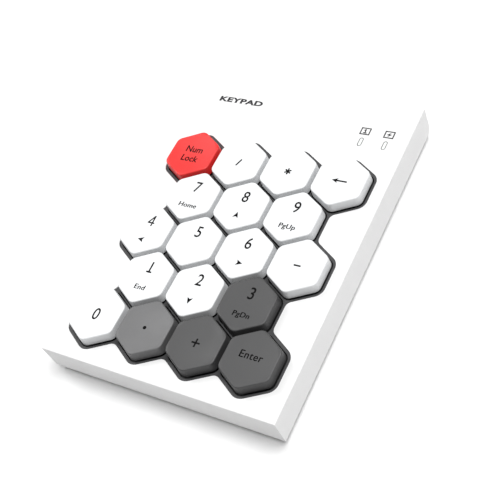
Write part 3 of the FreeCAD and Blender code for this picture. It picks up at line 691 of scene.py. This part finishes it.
def notched_sheet():
    """The dome sheet's flat part, clear of the case screws' bosses."""
    (x0, y0, z0), (x1, y1, _) = sheet_low, sheet_high
    corners = [(x0, y0), (x1, y0), (x1, y1), (x0, y1)]
    slab = mesh_from("slab", lambda bm: plate_of(bm, corners, z0, dome_foot))

    def drill(bm):
        turns = [a * math.pi / 24 for a in range(48)]
        for side in (-1, 1):
            for x, y in BOSSES:
                ring = [(side * x * MM + BOSS_CLEAR_R * math.cos(a), y * MM + BOSS_CLEAR_R * math.sin(a))
                        for a in turns]
                plate_of(bm, ring, 0, DRILL_TOP)

    return combined(slab, mesh_from("cutter", drill), "DIFFERENCE")


base_sheet = piece("silicone_sheet", notched_sheet(), SLOT_LOOKS["silicone"], "case")
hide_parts("dome_sheet")


# Gold contacts on the socket's tongue
port_low, port_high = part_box("usb_port")
port_x = (port_low[0] + port_high[0]) / 2
port_z = port_high[2] - 1.6 * MM
CONTACTS = 12                     # in each of two rows
CONTACT_PITCH = 0.5 * MM
CONTACT_HALF_W, CONTACT_HALF_T = 0.13 * MM, 0.03 * MM
CONTACT_ROW_Z = 0.365 * MM        # from the tongue's middle to each row
CONTACT_BACK, CONTACT_TIP = 4.6 * MM, 1.5 * MM    # behind the socket's mouth


def contacts(bm):
    """Two rows of flat strips, above and below the tongue."""
    back_y, tip_y = port_high[1] - CONTACT_BACK, port_high[1] - CONTACT_TIP
    for side in (-1, 1):
        for k in range(CONTACTS):
            x = port_x + (k - (CONTACTS - 1) / 2) * CONTACT_PITCH
            z = port_z + side * CONTACT_ROW_Z
            x0, x1 = x - CONTACT_HALF_W, x + CONTACT_HALF_W
            plate_of(bm, [(x0, back_y), (x1, back_y), (x1, tip_y), (x0, tip_y)],
                     z - CONTACT_HALF_T, z + CONTACT_HALF_T)


tongue = piece("socket_contacts", mesh_from("contacts", contacts), GOLD, "case")


# Stage -----------------------------------------------------------------------
floor_look = Look("floor_paper")
fibre = floor_look.noise(90, detail=5)
cloud = floor_look.ramp(fibre, 0.3, 0.7, 0, 1)
floor_look.color(floor_look.blend(cloud, (0.86, 0.86, 0.86), (0.89, 0.89, 0.89)))
floor_look.roughness(floor_look.ramp(fibre, 0.3, 0.7, 0.85, 0.95))
floor_look.bump(fibre, 0.02 * MM, 0.2)

FLOOR_GAP = 0.05 * MM             # keeps the feet and the floor apart
FLOOR_FRONT, FLOOR_LENGTH, FLOOR_HALF_W = -2.5, 4.0, 2.5    # in metres
FLOOR_BEND, FLOOR_CURVE = 1.0, 1.6                # where it starts to rise, and how fast
FLOOR_STEPS = 24


def floor_sheet(bm):
    """A wide sheet that curves up far behind the object."""
    rows = []
    for k in range(FLOOR_STEPS + 1):
        y = FLOOR_FRONT + FLOOR_LENGTH * k / FLOOR_STEPS
        rows.append((y, -FLOOR_GAP if y < FLOOR_BEND else FLOOR_CURVE * (y - FLOOR_BEND) ** 2))
    grid = [[bm.verts.new((x, y, z)) for x in (-FLOOR_HALF_W, FLOOR_HALF_W)] for y, z in rows]
    for a, b in zip(grid, grid[1:]):
        bm.faces.new((a[0], a[1], b[1], b[0]))


floor = bpy.data.objects.new("floor", mesh_from("floor", floor_sheet))
bpy.context.scene.collection.objects.link(floor)
floor.data.materials.append(floor_look.mat)
for polygon in floor.data.polygons:
    polygon.use_smooth = True

world = bpy.data.worlds.new("studio")
world.use_nodes = True
world.node_tree.nodes["Background"].inputs["Color"].default_value = (1, 1, 1, 1)
world.node_tree.nodes["Background"].inputs["Strength"].default_value = 0.26
bpy.context.scene.world = world


def area_light(name, at, target, size, power):
    """Square softbox that faces a point; sizes in metres, power in watts."""
    data = bpy.data.lights.new(name, "AREA")
    data.shape, data.size, data.energy = "SQUARE", size, power
    obj = bpy.data.objects.new(name, data)
    obj.location = at
    obj.rotation_mode = "QUATERNION"
    obj.rotation_quaternion = (Vector(target) - Vector(at)).to_track_quat("-Z", "Y")
    bpy.context.scene.collection.objects.link(obj)


area_light("top_softbox", (0.32, 0.17, 1.24), (0, 0, 0), 0.9, 17.6)
area_light("rear_softbox", (-1.08, 0.34, 1.00), (-0.01, -0.04, 0.015), 0.5, 6.5)

# Camera ----------------------------------------------------------------------
azimuth, elevation, roll = (math.radians(a) for a in (CAM_AZIMUTH, CAM_ELEVATION, CAM_ROLL))
back = Vector((math.sin(azimuth) * math.cos(elevation), -math.cos(azimuth) * math.cos(elevation),
               math.sin(elevation)))
level = (-back).cross(Vector((0, 0, 1))).normalized()
steep = level.cross(-back)
right = math.cos(roll) * level + math.sin(roll) * steep
above = math.cos(roll) * steep - math.sin(roll) * level
lens = bpy.data.cameras.new("camera")
lens.lens, lens.sensor_width = CAM_LENS, CAM_SENSOR
lens.shift_x, lens.shift_y = CAM_SHIFT
lens.clip_start, lens.clip_end = 0.01, 20
camera = bpy.data.objects.new("camera", lens)
camera.matrix_world = Matrix((right, above, back)).transposed().to_4x4()
camera.location = CAM_AT
bpy.context.scene.collection.objects.link(camera)
bpy.context.scene.camera = camera
bpy.context.scene.view_settings.view_transform = "Standard"
